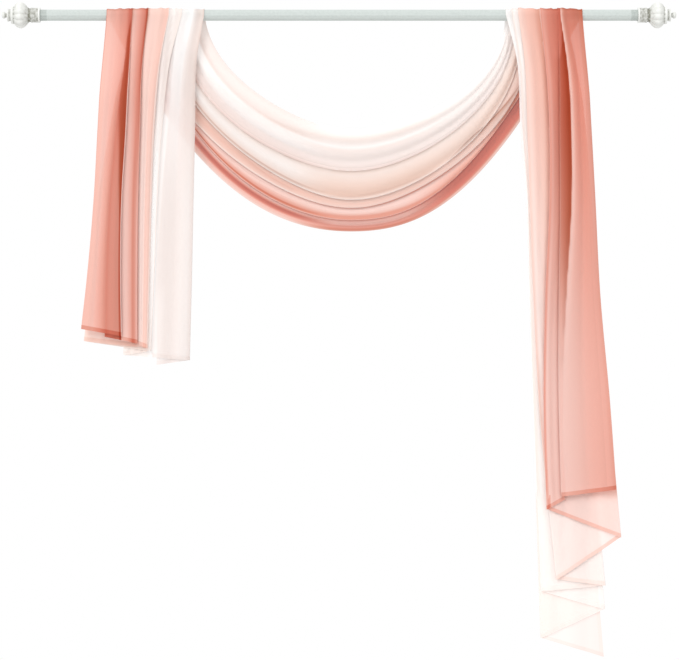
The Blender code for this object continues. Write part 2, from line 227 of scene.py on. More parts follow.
# Shadow between the folds of the tails: place, drop in mm where it begins and ends, share of the shade
LEFT_SHADOW = (
    (0.97, 60, 230, 0), (1.02, 60, 240, 0.62), (1.5, 25, 340, 0.78), (1.95, 8, 520, 0.8), (2, 8, 540, 0),
    (2.01, -60, 40, 0.5), (2.08, -60, 40, 0.5), (2.16, -60, 40, 0), (2.99, -60, 40, 0), (3.01, -60, 40, 0.4),
    (3.06, -60, 40, 0.3), (3.14, -60, 40, 0), (4.04, -10, 60, 0), (4.2, -10, 90, 0.22), (4.55, 60, 200, 0.22),
    (4.9, 130, 320, 0.14), (5.05, 150, 700, 0.05), (5.2, 180, 700, 0.14), (5.36, 260, 700, 0),
)
RIGHT_SHADOW = (
    (3.4, 110, 760, 0), (3.98, 110, 760, 0.26), (4.06, 110, 700, 0.42), (4.5, 70, 720, 0.7),
    (4.89, 20, 700, 0.85), (4.94, 20, 700, 0), (5.01, -100, 60, 0), (5.08, -100, 60, 0.5),
    (5.5, -100, 60, 0.36), (5.9, -100, 80, 0.55), (6.01, -100, 80, 0.55),
)
SHADOW_BEGINS_OVER = 24 * MM
# On the wrap the shadow fades over these angles from the front. The coral part has a shade near the top of
# the rod: its share, and start and length in angle and in share of the width.
SHADOW_FADES_ANGLES = (1.0, 0.8)
TOP_SHADE = 0.4
TOP_ANGLES = (0.5, 0.7)
TOP_SHARES = (0.2, 0.1)

# How near in share of the width a layer is to the one that shows, the fade, and the dye's power behind it
NEAR_SHARE = 0.17
NEAR_FADE = 0.04
POWER_BEHIND = 0.8
# Start and length, in share of the width and in drop, of the layers below the coral hem of the right tail,
# and the range of their dye's power: from one share to the other, power at each
PLAIN_SHARES = (0.129, 0.004)
PLAIN_DROPS = (1195 * MM, 40 * MM)
PLAIN_DYE = (0.7, 1.0, 0.32, 1.8)

# Openness on the coral side, what the white side and the lowest part add, and the start and length of both
# in share of the width and in drop
CORAL_GAPS, WHITE_ADDS, LOW_ADDS = 0.5, 1.0, 0.5
WHITE_SHARES = (0.45, 0.30)
LOW_DROPS = (1000 * MM, 400 * MM)
# Where the cloth hardly shows: first and last place, drop in mm, openness added. It eases in and out over
# these lengths of place, and over this drop.
LEFT_THIN = (3.98, 4.95, 330, 0.66)
RIGHT_THIN = (0.0, 0.6, 500, 0.10)
THIN_EASES_IN = 0.4
THIN_EASES_OUT = 0.2
THIN_DROP_FADE = 200 * MM

# Colour of the threads across the flat width, from the coral selvedge to the white one
OMBRE = (
    (0, (219, 137, 119)), (0.13, (223, 141, 123)), (0.25, (235, 168, 150)), (0.36, (245, 197, 182)),
    (0.47, (249, 215, 203)), (0.6, (252, 234, 225)), (0.75, (252, 241, 235)), (0.88, (251, 241, 236)),
    (1, (250, 238, 234)),
)
MOST_POWER = 4.0
BROWN_SHADE = (0.62, 0.32, 0.20, 1.0)
GREY_SHADE = (0.58, 0.48, 0.45, 1.0)
BROWN_TO_GREY = (0.35, 0.7)
# What the end hems add to the dye's power and to the shade on the coral, how that changes where folds show,
# and what they add to the shade everywhere
HEM_DYE, HEM_DYE_FOLDED = 0.8, -0.4
HEM_SHADE, HEM_SHADE_FOLDED = -0.02, 0.16
HEM_SHADE_ALL = 0.14
# How much paler a fold's turn is, as a painted highlight, how much sharper a crease's painted shade is
# above than below, how much denser a hem is, the share of light that the threads pass on, and the scale
# of the slubs
TURN_PAINTED_HIGHLIGHT = 0.3
CREASE_SHARPER = 5.0
HEM_DENSER = 0.6
THREADS_PASS = 0.2
SLUBS = (420.0, 14.0, 1.0)

# A tail and the wrap above it. front_line is 1 where the layer that shows between two lines ends at the
# second of them, 0 where at the first.
Tail = namedtuple(
    "Tail", "lines drops sinks shown rolls shadow thin shadow_ends_over hem_looks_from front_line"
)
LEFT = Tail(
    LEFT_TAIL, LEFT_DROPS, LEFT_SINK, LEFT_SHOWN, LEFT_ROLLS, LEFT_SHADOW, LEFT_THIN,
    shadow_ends_over=90 * MM, hem_looks_from=550 * MM, front_line=1,
)
RIGHT = Tail(
    RIGHT_TAIL, RIGHT_DROPS, RIGHT_SINK, RIGHT_SHOWN, RIGHT_ROLLS, RIGHT_SHADOW, RIGHT_THIN,
    shadow_ends_over=420 * MM, hem_looks_from=1000 * MM, front_line=0,
)
SWAG_FRONT_LINE = 1

# Turned outline of a finial in mm: distance from its open end, radius, 1 on the lobed ball
FINIAL_OUTLINE = (
    (0, 19.4, 0), (3.6, 19.4, 0), (4.8, 18.4, 0), (19, 18.4, 0), (21.5, 19.2, 0), (23, 18, 0), (24.2, 17, 0),
    (27.5, 17, 0), (31.5, 21, 1), (36, 26.5, 1), (42.5, 31.4, 1), (49.5, 33.5, 1), (56.5, 32, 1),
    (62.5, 27.5, 1), (66.5, 21.5, 1), (67.8, 22.3, 0), (73, 22.3, 0), (74.5, 14.5, 0), (78.5, 14.5, 0),
    (79, 16, 0), (83, 16, 0), (84.5, 5.5, 0), (87.6, 5.5, 0), (90, 8.4, 0), (93.5, 8.8, 0), (96.5, 6.4, 0),
)
FINIAL_LENGTH = 98 * MM
# Share of the dark wash from each distance in mm on, in the grooves between lobes, and where the outline is
# sunk: in full at this depth in mm, up to the last share
FINIAL_WASH = ((0, 0.05), (4.5, 0.45), (23.5, 0.8), (31, 0.05), (74, 0.17))
GROOVE_WASH = 0.06
SUNK_IN_FULL = 6.0
SUNK_MOST = 0.35
# Paints: face and wash from 0 to 255, roughness, how mottled. Then the range of the noise.
ROD_PAINT = ((208, 215, 212), (150, 158, 153), 0.42, 0.2)
FINIAL_PAINT = ((230, 231, 227), (128, 128, 116), 0.5, 0.5)
NOISE_RANGE = (0.35, 0.7)
SOCKET_RADIUS = 14.7 * MM
SOCKET_DEPTH = 20 * MM
HALF_SHOWN_ROD = 759 * MM
ROD_IN_SOCKET = 18 * MM

# The photo in pixels: its size, the rod's row, and how far the rod's middle is left of the photo's. Then
# the size of one pixel at the rod.
PICTURE_WIDTH, PICTURE_HEIGHT = 679, 660
ROD_ROW = 15.2
MIDDLE_IS_LEFT = 0.5
PIXEL = 2.54 * MM
KEY_LIGHT_FROM = (-1.6, -2.6, 2.2)


def ease(t):
    """Smooth step from 0 to 1: 3 t squared less 2 t cubed."""
    t = np.clip(t, 0.0, 1.0)
    return t * t * (3.0 - 2.0 * t)


def ease_from(at, start, over):
    """Smooth step from 0 at the start to 1 at the start plus over."""
    return ease((at - start) / over)


def through(stations, values, at):
    """A smooth curve through the stations: a cubic between each two, with the mean slope at each."""
    stations = np.asarray(stations, float)
    values = np.asarray(values, float)
    slopes = np.gradient(values, stations)
    k = np.clip(np.searchsorted(stations, at) - 1, 0, len(stations) - 2)
    span = stations[k + 1] - stations[k]
    t = np.clip((at - stations[k]) / span, 0.0, 1.0)
    return (
        (2 * t**3 - 3 * t**2 + 1) * values[k]
        + (t**3 - 2 * t**2 + t) * span * slopes[k]
        + (3 * t**2 - 2 * t**3) * values[k + 1]
        + (t**3 - t**2) * span * slopes[k + 1]
    )


def line_x(row, drops, drop):
    """x of one fold line of a tail at each drop below the rod."""
    stations = np.array(drops + (row[-1],)) * MM
    return through(stations, np.array(row[:-1]) * MM, drop)


def tail_lines(side, shares):
    """x and z of every fold line of a tail at each share of its own length below the rod."""
    x = np.stack([line_x(row, side.drops, shares * row[-1] * MM) for row in side.lines], axis=1)
    z = -shares[:, None] * np.array([row[-1] for row in side.lines]) * MM
    return x, z


def swag_curves(q, left, right, middle, left_steep, left_power, right_steep, right_power):
    """x and z of fold lines of the swag where q goes from -1 at the left bunch to 1 at the right one.

    x is a mix of q and the sine of a quarter turn times q, which leaves the rod straight down. The drop
    is that of the middle times 1 less the power of q, rounded at the middle.
    """
    steep = np.where(q < 0, left_steep, right_steep)
    power = np.where(q < 0, left_power, right_power)
    reach = (1 - steep) * q + steep * np.sin(np.pi / 2 * q)
    half = np.where(q < 0, SWAG_MIDDLE_X - left, right - SWAG_MIDDLE_X)
    low = SWAG_ROUNDING**power
    high = (1 + SWAG_ROUNDING**2) ** (power / 2)
    rise = ((q * q + SWAG_ROUNDING**2) ** (power / 2) - low) / (high - low)
    return SWAG_MIDDLE_X + half * reach, -middle * (1 - rise)


def swag_table(which):
    """Left x, right x, middle drop, and both sides' steepness and power of these fold lines of the swag."""
    left = np.array([LEFT_TAIL[i][0] for i in which]) * MM
    right = np.array([RIGHT_TAIL[i][0] for i in which]) * MM
    columns = [np.array([SWAG[i][k] for i in which]) for k in range(5)]
    return left, right, columns[0] * MM, *columns[1:]


def swag_place(x, z):
    """Where points of the swag lie among the shown fold lines, and how wide the band is there.

    A dense family of curves is mixed from the shown lines; each point's place is where it falls between
    two of them along the vertical, and the width is their distance apart square to the curve.
    """
    bands = len(SWAG_SHOWN) - 1
    place = np.linspace(0, bands, CURVES_PER_BAND * bands + 1)
    known = np.arange(bands + 1)
    mixed = [np.interp(place, known, column)[:, None] for column in swag_table(SWAG_SHOWN)]
    curves = list(zip(*swag_curves(np.linspace(-1, 1, POINTS_PER_CURVE)[None, :], *mixed)))
    heights = np.array([np.interp(x.ravel(), cx, cz) for cx, cz in curves])
    slopes = np.array([np.interp(x.ravel(), cx, np.gradient(cz, cx)) for cx, cz in curves])
    heights -= np.arange(len(place))[:, None] * TINY
    k = np.clip((heights > z.ravel()).sum(axis=0) - 1, 0, len(place) - 2)
    at = np.arange(x.size)
    gap = np.maximum(heights[k, at] - heights[k + 1, at], TINY)
    found = place[k] + np.clip((heights[k, at] - z.ravel()) / gap, 0, 1) * (place[1] - place[0])
    top = np.minimum(found.astype(int), bands - 1) * CURVES_PER_BAND
    wide = heights[top, at] - heights[top + CURVES_PER_BAND, at]
    wide = wide / np.sqrt(1 + slopes[k, at] ** 2)
    return found.reshape(x.shape), wide.reshape(x.shape)


def tail_place(x, z, side):
    """Where points of a tail lie among its shown fold lines, and how wide the band is there."""
    rows = [side.lines[i] for i in side.shown]
    lines = np.array([line_x(row, side.drops, np.clip(-z, 0, row[-1] * MM)) for row in rows])
    lines = np.maximum.accumulate(lines + np.arange(len(rows)).reshape(-1, 1, 1) * (10 * TINY), axis=0)
    widths = np.diff(lines, axis=0)
    found = np.clip((x - lines[:-1]) / widths, 0, 1).sum(axis=0)
    band = np.minimum(found.astype(int), len(rows) - 2)
    return found, np.take_along_axis(widths, band[None], axis=0)[0]


def in_front(place, across, shown, front_line):
    """1 where a point's share of the width is near that of the layer that shows at its place, else 0."""
    shares = np.array([FOLD_SHARES[i] for i in shown])
    line = np.minimum(np.floor(place).astype(int), len(shown) - 2) + front_line
    return ease((NEAR_SHARE + NEAR_FADE - np.abs(across - shares[line])) / NEAR_FADE)


def rolls(place, wide, table):
    """How far the cloth swells towards the viewer between creases: a skewed half sine for each roll."""
    ends, heights = np.array(table).T
    k = np.clip(np.searchsorted(ends, place, side="right"), 1, len(ends) - 1)
    share = (place - ends[k - 1]) / (ends[k] - ends[k - 1])
    span = wide * (ends[k] - ends[k - 1])
    height = np.minimum(heights[k] * MM, ROLL_MOST_SHARE * span)
    return height * np.sin(np.pi * np.clip(share, 0, 1) ** ROLL_LEAN)


def gathers(place, wide):
    """Height of the fine gathers that run down from the rod: a sum of sines of the place."""
    height = np.minimum(GATHER_HEIGHT, wide * GATHER_MOST_SHARE)
    return height * sum(size * np.sin(2 * np.pi * place * count + phase) for count, phase, size in GATHERS)


def crossing_creases(x, place, wide):
    """How far each point lies below the nearest crease that crosses the folds, in reaches, and its strength.

    The strength eases in and out at the crease's two ends.
    """
    near, deep = np.full_like(place, CREASE_FAR), np.zeros_like(place)
    wide = np.maximum(wide, CREASE_NARROWEST_BAND)
    for *spots, strength, reach in SWAG_CREASES:
        along, places = np.array(spots).T
        along *= MM
        below = (place - through(along, places, x)) * wide / (reach * MM)
        inside = ease((x - along[0]) / CREASE_EASES_IN) * ease((along[-1] - x) / CREASE_EASES_OUT)
        nearest = (np.abs(below) < np.abs(near)) & (inside > 0)
        near, deep = np.where(nearest, below, near), np.where(nearest, strength * inside, deep)
    return near, deep


def shadow_between(place, z, side):
    """Shade of a tail's deep hollows, between the drops where they begin and end at each place."""
    ends, begin, stop, strength = np.array(side.shadow).T
    begin, stop, strength = (np.interp(place, ends, column) for column in (begin, stop, strength))
    inside = ease((-z - begin * MM) / SHADOW_BEGINS_OVER + 0.5)
    inside = inside * ease((stop * MM + z) / side.shadow_ends_over + 0.5)
    return strength * inside * ((place > ends[0]) & (place < ends[-1]))


def length(name, default, description):
    """A length among the settings of a piece."""
    return bpy.props.FloatProperty(name=name, description=description, default=default, unit="LENGTH")


class ClothSettings(bpy.types.PropertyGroup):
    """Sizes of the scarf."""

    rod_gap: length("Rod gap", 0.0006, "Room between the rod and the innermost layer")
    apart_at_rod: length("Layers apart at the rod", 0.0008, "Room from one layer to the next on the rod")
    apart_in_tails: length("Layers apart in the tails", 0.005, "Room from one layer to the next in a tail")
    apart_in_swag: length("Layers apart in the swag", 0.0044, "Room from one layer to the next in the swag")
    hem: length("Hem", 0.010, "Width of the doubled hem on the four edges")
    openness: bpy.props.FloatProperty(
        name="Openness", description="Share of light that passes between the threads", default=0.18,
        subtype="FACTOR", min=0.0, max=1.0,
    )


class HardwareSettings(bpy.types.PropertyGroup):
    """Sizes of the rod and its finials."""

    rod_radius: length("Rod radius", 0.0143, "Radius over the flutes' crests")
    flutes: bpy.props.IntProperty(name="Flutes", description="Flutes round the rod", default=24)
    flute_depth: length("Flute depth", 0.0005, "How deep a flute goes")
    lobes: bpy.props.IntProperty(name="Lobes", description="Lobes round a finial's ball", default=12)
    lobe_depth: bpy.props.FloatProperty(
        name="Lobe depth", description="Depth of the groove between lobes, as a share of the radius",
        default=0.085, subtype="FACTOR",
    )


class StageSettings(bpy.types.PropertyGroup):
    """The camera and the light."""

    across: length("Picture width", PICTURE_WIDTH * PIXEL, "Width of the picture at the rod")
    lens: bpy.props.FloatProperty(name="Lens", description="Focal length in mm", default=150.0)
    key_strength: bpy.props.FloatProperty(name="Key light", description="Its strength", default=1.25)
    key_softness: bpy.props.FloatProperty(
        name="Key softness", description="Angle that it spreads over", default=0.6, subtype="ANGLE",
    )
    background: bpy.props.FloatProperty(name="Background", description="Its brightness", default=1.0)
    fill: bpy.props.FloatProperty(name="Fill light", description="Light from all round", default=1.0)


def add_piece(name, points, faces, finishes, replaced, values, sharp=None):
    """A mesh object from plain arrays, riding on the part and standing for its CAD node."""
    mesh = bpy.data.meshes.new(name)
    mesh.from_pydata(points.reshape(-1, 3).tolist(), [], faces)
    for key, value in values.items():
        attribute = mesh.attributes.new(key, "FLOAT", "POINT")
        attribute.data.foreach_set("value", np.asarray(value, float).ravel())
    mesh.shade_smooth()
    if sharp:
        mesh.set_sharp_from_angle(angle=sharp)
    for finish in finishes:
        mesh.materials.append(finish)
    obj = bpy.data.objects.new(name, mesh)
    bpy.context.scene.collection.objects.link(obj)
    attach(obj, "root")
    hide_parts(replaced)
    return obj


def grid_faces(rows, columns, wrap=False):
    """Quads between neighbouring rows and columns of a grid, joined round at the last column if wrap."""
    index = np.arange(rows * columns).reshape(rows, columns)
    if wrap:
        index = np.concatenate([index, index[:, :1]], axis=1)
    corners = [index[:-1, :-1], index[1:, :-1], index[1:, 1:], index[:-1, 1:]]
    return np.stack(corners, axis=2).reshape(-1, 4)


def closed_tube(rings, tips, turned_over):
    """Points and faces of a tube of rings of points, closed at each end by a fan round its tip."""
    rows, sides = rings.shape[:2]
    points = np.concatenate([rings.reshape(-1, 3), tips])
    first, last, end = rows * sides, rows * sides + 1, (rows - 1) * sides
    faces = grid_faces(rows, sides, wrap=True).tolist()
    for i in range(sides):
        j = (i + 1) % sides
        faces += [[first, i, j], [end + i, last, end + j]]
    return points, [face[::-1] for face in faces] if turned_over else faces


def new_material(name):
    """An empty node material, its tree and its output node."""
    made = bpy.data.materials.new(name)
    made.use_nodes = True
    tree = made.node_tree
    tree.nodes.clear()
    return made, tree, tree.nodes.new("ShaderNodeOutputMaterial")


def add_node(tree, kind, inputs=None, **settings):
    """A shader node with its settings, and its inputs set to values or linked from sockets."""
    node = tree.nodes.new(kind)
    for key, value in settings.items():
        setattr(node, key, value)
    for key, value in (inputs or {}).items():
        socket = node.inputs[key]
        if isinstance(value, bpy.types.NodeSocket):
            tree.links.new(value, socket)
        else:
            socket.default_value = value
    return node


def map_range(tree, value, start, end, low, high):
    """The value from start to end moved to the range from low to high."""
    inputs = {"Value": value, "From Min": start, "From Max": end, "To Min": low, "To Max": high}
    return add_node(tree, "ShaderNodeMapRange", inputs).outputs[0]


def mix_colours(tree, share, first, second, **settings):
    """The first colour mixed with the second by its share."""
    inputs = {0: share, 6: first, 7: second}
    return add_node(tree, "ShaderNodeMix", inputs, data_type="RGBA", **settings).outputs[2]


def linear(red, green, blue):
    """A display colour from 0 to 255 as the linear values that a shader takes."""
    c = np.array([red, green, blue]) / 255
    return (*np.where(c <= 0.04045, c / 12.92, ((c + 0.055) / 1.055) ** 2.4), 1.0)


def folded_ramp(tree, place, table):
    """A ramp by place that paints the folds' light and shade.

    It holds the colour's power, as a share of the most, in red and the shade in green.
    """
    last = table[-1][0]
    share = add_node(tree, "ShaderNodeMath", {0: place, 1: last}, operation="DIVIDE")
    ramp = add_node(tree, "ShaderNodeValToRGB", {0: share.outputs[0]})
    stops = [(spot / last, (power / MOST_POWER, shade, 0, 1)) for spot, power, shade in table]
    fill_ramp(ramp.color_ramp, stops)
    return ramp.outputs[0]


def fill_ramp(ramp, stops):
    """Sets a colour ramp's stops to (position, colour)."""
    while len(ramp.elements) < len(stops):
        ramp.elements.new(0.5)
    for element, (position, colour) in zip(ramp.elements, stops):
        element.position = position
        element.color = colour


def voile_material(name, settings, *tables):
    """Sheer voile: threads that scatter and pass light, mixed with clear gaps, and denser in the hems.

    The colour is the ombre across the flat width raised to a power, which deepens it where layers lie
    behind and paints the folds' light and shade, times the shade, which is brown on the coral and grey on
    the white: painted shade of the folds and their hollows, and the hems' darker double cloth. Power and
    shade come from tables by place among the folds, each mixed into the next as the mesh's along passes
    0, 1, 2.
    """
    made, tree, output = new_material(name)
    uv = add_node(tree, "ShaderNodeUVMap", uv_map="cloth")
    split = add_node(tree, "ShaderNodeSeparateXYZ", {0: uv.outputs[0]})
    carried = {
        key: add_node(tree, "ShaderNodeAttribute", attribute_name=key).outputs["Fac"]
        for key in ("place", "along", "edge", "gaps", "plain", "front", "shadow", "crease", "creased")
    }

    def maths(operation, *values):
        node = add_node(tree, "ShaderNodeMath", dict(enumerate(values)), operation=operation)
        return node.outputs[0]

    def near_edge(socket, whole):
        """1 in the hem along both ends of this side of the cloth, 0 elsewhere."""
        return maths("LESS_THAN", maths("MINIMUM", socket, maths("SUBTRACT", whole, socket)), settings.hem)

    share = maths("DIVIDE", split.outputs[0], FLAT_WIDTH)
    ramp = add_node(tree, "ShaderNodeValToRGB", {0: share})
    fill_ramp(ramp.color_ramp, [(place, linear(*colour)) for place, colour in OMBRE])
    folds = folded_ramp(tree, carried["place"], tables[0])
    for step, table in enumerate(tables[1:]):
        turn = add_node(tree, "ShaderNodeClamp", {0: maths("SUBTRACT", carried["along"], step)}).outputs[0]
        folds = mix_colours(tree, turn, folds, folded_ramp(tree, carried["place"], table))
    power_shade = add_node(tree, "ShaderNodeSeparateColor", {0: folds}).outputs
    ends = near_edge(split.outputs[1], FLAT_LENGTH)
    hem = maths("MAXIMUM", ends, near_edge(split.outputs[0], FLAT_WIDTH))
    folded = maths("SUBTRACT", 1.0, carried["plain"])
    brown = map_range(tree, share, *BROWN_TO_GREY, 1.0, 0.0)

    # Power of the colour: the folds' painted light and shade, deeper where layers lie behind
    power = maths("MULTIPLY_ADD", power_shade[0], MOST_POWER, -POWER_BEHIND)
    power = maths("MULTIPLY", maths("MULTIPLY_ADD", carried["front"], power, POWER_BEHIND), folded)
    power = maths("MULTIPLY_ADD", carried["plain"], map_range(tree, share, *PLAIN_DYE), power)
    # A fold's turn gets a painted highlight: less power, so a paler colour
    power = maths("MULTIPLY", power, maths("MULTIPLY_ADD", carried["edge"], -TURN_PAINTED_HIGHLIGHT, 1.0))
    hem_power = maths("MULTIPLY", brown, maths("MULTIPLY_ADD", folded, HEM_DYE_FOLDED, HEM_DYE))
    power = maths("MULTIPLY", power, maths("MULTIPLY_ADD", ends, hem_power, 1.0))
    ombre_with_painted_light = add_node(tree, "ShaderNodeGamma", {"Color": ramp.outputs[0], "Gamma": power})

    # Painted shade of the crossing creases, the hollows, the rod's top and the folds; darker double hems
    below = maths("MULTIPLY", carried["crease"], -1.0)
    fall = maths("MINIMUM", below, maths("MULTIPLY", carried["crease"], CREASE_SHARPER))
    shade = maths("MULTIPLY_ADD", carried["creased"], maths("EXPONENT", fall), carried["shadow"])
    shade = maths("MULTIPLY_ADD", power_shade[1], maths("MULTIPLY", folded, carried["front"]), shade)
    hem_shade = maths("MULTIPLY_ADD", folded, HEM_SHADE_FOLDED, HEM_SHADE)
    hem_shade = maths("MULTIPLY_ADD", brown, hem_shade, HEM_SHADE_ALL)
    shade = maths("MULTIPLY_ADD", ends, hem_shade, shade)
    dark = mix_colours(tree, brown, GREY_SHADE, BROWN_SHADE)
    colour = mix_colours(tree, shade, ombre_with_painted_light.outputs[0], dark, blend_type="MULTIPLY", clamp_factor=True)

    stretched = add_node(tree, "ShaderNodeMapping", {"Vector": uv.outputs[0], "Scale": SLUBS}).outputs[0]
    slubs = add_node(tree, "ShaderNodeTexNoise", {"Vector": stretched, "Scale": 1.0, "Detail": 2.0})
    slub_bump = {"Height": slubs.outputs[0], "Strength": 0.08, "Distance": 0.0004}
    surface = {"Color": colour, "Normal": add_node(tree, "ShaderNodeBump", slub_bump).outputs[0]}
    scatter = add_node(tree, "ShaderNodeBsdfDiffuse", surface).outputs[0]
    passing = add_node(tree, "ShaderNodeBsdfTranslucent", surface).outputs[0]
    threads = add_node(tree, "ShaderNodeMixShader", {0: THREADS_PASS, 1: scatter, 2: passing}).outputs[0]
    clear = add_node(tree, "ShaderNodeBsdfTransparent", {"Color": (1, 1, 1, 1)}).outputs[0]
    see_through = maths("MULTIPLY", carried["gaps"], maths("MULTIPLY_ADD", hem, -HEM_DENSER, 1.0))
    mixed = add_node(tree, "ShaderNodeMixShader", {0: see_through, 1: threads, 2: clear})
    tree.links.new(mixed.outputs[0], output.inputs[0])
    return made


class SCARF_OT_cloth(bpy.types.Operator):
    """Lays the scarf over the rod as one sheet on the folds of its solid"""

    bl_idname = "scarf.cloth"
    bl_label = "Scarf"

    turn_points = 5
    panel_points = (24, 3, 8, 21, 22, 14, 17, 18, 19, 18)
    left_rows, wrap_rows, swag_rows, right_rows = 90, 12, 150, 140

    def across(self, x, z, wide):
        """Across each row: x, z, the level in the stack, the share of the width and how near a turn it is.

        A panel is straight between its two fold lines. At a fold the cloth goes round half a circle, as
        wide as one layer stands from the next, in the direction that both panels leave it.
        """
        apart = self.gaps(z, wide)[0] + 0 * x
        lines = np.stack([x, z], axis=2)
        outermost = len(self.panel_points) - 1
        spots, levels, shares, edges = [lines[:, 0]], [outermost], [0.0], [0.0]
        for panel, inner in enumerate(self.panel_points):
            start, end = FOLD_SHARES[panel], FOLD_SHARES[panel + 1]
            for t in (np.arange(inner) + 1) / (inner + 1):
                spots.append(lines[:, panel] + t * (lines[:, panel + 1] - lines[:, panel]))
                levels.append(outermost - panel)
                shares.append(start + t * (end - start))
                edges.append(0.0)
            if panel == outermost:
                break
            fold = lines[:, panel + 1]
            arriving = fold - lines[:, panel]
            leaving = fold - lines[:, panel + 2]
            outward = arriving / np.linalg.norm(arriving, axis=1, keepdims=True)
            outward = outward + leaving / np.linalg.norm(leaving, axis=1, keepdims=True)
            outward /= np.linalg.norm(outward, axis=1, keepdims=True)
            for angle in np.linspace(0, np.pi, self.turn_points):
                spots.append(fold + outward * (apart[:, panel + 1, None] / 2 * np.sin(angle)))
                levels.append(outermost - panel - 0.5 * (1 - np.cos(angle)))
                shares.append(end + TURN_SHARE * (angle / np.pi - 0.5))
                edges.append(np.sin(angle))
        spots.append(lines[:, -1])
        levels.append(0.0)
        shares.append(1.0)
        edges.append(0.0)
        x, z = np.moveaxis(np.stack(spots, axis=1), 2, 0)
        return x, z, np.array(levels), np.array(shares), np.array(edges)

    def widths(self):
        """Each column's share of the flat width."""
        x = np.arange(len(FOLD_SHARES))[None] * MM
        return self.across(x, 0 * x, 0.0)[3]

    def gaps(self, z, wide):
        """Room from one layer to the next at each height, and how much of the sink at the rod is left."""
        opened = ease(-z / BUNCH_OPENS_OVER)
        at_rod = self.settings.apart_at_rod
        return at_rod + (wide - at_rod) * opened, 1 - opened

    def radius(self, x, z, levels, wide, sinks):
        """How far each layer lies off the rod's axis.

        It depends on the layer's level and its place in the front view alone, so that layers never meet.
        """
        gap, sunk = self.gaps(z, wide)
        sink_x, sink = (np.array(column) for column in zip(*sinks))
        innermost = self.hardware.rod_radius + self.settings.rod_gap
        return innermost + gap * (levels - sunk * np.interp(x, sink_x * MM, sink))

    def finish(self, x, y, z, place, along, edges, across, front, shadow=0.0, thinner=0.0, crease=NO_CREASE):
        """One stretch of the cloth: its points, and what its material reads at each."""
        drop = -z + 0 * x
        plain = ease_from(across, *PLAIN_SHARES) * ease_from(drop, *PLAIN_DROPS)
        open_share = CORAL_GAPS + WHITE_ADDS * ease_from(across, *WHITE_SHARES)
        open_share = open_share + LOW_ADDS * ease_from(drop, *LOW_DROPS)
        carried = {
            "place": place, "along": along + 0 * x, "edge": edges + 0 * x,
            "gaps": self.settings.openness * open_share + thinner, "plain": plain,
            "shadow": shadow * front * (1 - plain), "front": front + 0 * x,
            "crease": crease[0] + 0 * x, "creased": crease[1] * front + 0 * x,
        }
        return np.stack([x, y, z], axis=2), carried

    def stack(self, side, shares):
        """A tail's stack of folds at these shares of its drop, without its rolls and gathers."""
        wide = self.settings.apart_in_tails
        x, z, levels, across, edges = self.across(*tail_lines(side, shares), wide)
        place, band = tail_place(x, z, side)
        front = in_front(place, across, side.shown, side.front_line)
        return x, z, self.radius(x, z, levels, wide, side.sinks), place, band, edges, across, front

    def tail(self, side, shares):
        """One tail, from its rows' shares of the drop."""
        x, z, radius, place, band, edges, across, front = self.stack(side, shares)
        full = ease(-z / ROLLS_FULL_AT)
        swell = rolls(place, band, side.rolls) * full + gathers(place, band) * (1 - GATHERS_LOST * full)
        wave = np.sin(2 * np.pi * (x - TAIL_WAVE_LEAN * z) / TAIL_WAVE_LENGTH)
        wave = TAIL_WAVE_DEPTH * ease(-z / TAIL_WAVE_FULL_AT) * wave
        y = wave - radius - swell
        first, last, drop, open_share = side.thin
        thinner = open_share * ease((place - first) / THIN_EASES_IN) * ease((last - place) / THIN_EASES_OUT)
        thinner = thinner * ease((-z - drop * MM) / THIN_DROP_FADE + 0.5)
        along = ease(-z / side.hem_looks_from)
        shadow = shadow_between(place, z, side)
        return self.finish(x, y, z, place, along, edges, across, front, shadow, thinner)

    def wrap(self, side, turned):
        """The cloth as it goes half round the rod, at each of the turned angles from the front."""
        x, z, radius, place, band, edges, across, front = self.stack(side, np.zeros(1))
        turned = turned[:, None]
        radius = radius + gathers(place, band)
        shadow = shadow_between(place, 0 * z, side) * (1 - ease_from(turned, *SHADOW_FADES_ANGLES))
        coral = 1 - ease_from(across, *TOP_SHARES)
        shadow = shadow + TOP_SHADE * ease_from(turned, *TOP_ANGLES) * coral
        y, z = -radius * np.cos(turned), z + radius * np.sin(turned)
        return self.finish(x + 0 * turned, y, z, place + 0 * turned, 0.0, edges, across, front, shadow)

    def swag(self, q):
        """The swag, from its rows' places between the two bunches."""
        x, z = swag_curves(q[:, None], *swag_table(range(len(SWAG))))
        wide = self.settings.apart_in_swag
        x, z, levels, across, edges = self.across(x, z, wide)
        place, band = swag_place(x, z)
        near_rod = 1 - ease(-z / SWAG_GATHERS_END)
        off_axis = [
            self.radius(x, z, levels, wide, side.sinks) + gathers(*tail_place(x, z * 0, side)) * near_rod
            for side in (LEFT, RIGHT)
        ]
        swell = rolls(place, band, SWAG_ROLLS) * (1 - near_rod)
        y = np.where(q[:, None] < 0, *off_axis) - SWAG_SWINGS_FORWARD * ease(-z / BUNCH_OPENS_OVER) - swell
        along = sum(ease_from(x, *turn) for turn in SWAG_TURNS)
        front = in_front(place, across, SWAG_SHOWN, SWAG_FRONT_LINE)
        creases = crossing_creases(x, place, band)
        return self.finish(x, y, z, place, along, edges, across, front, crease=creases)

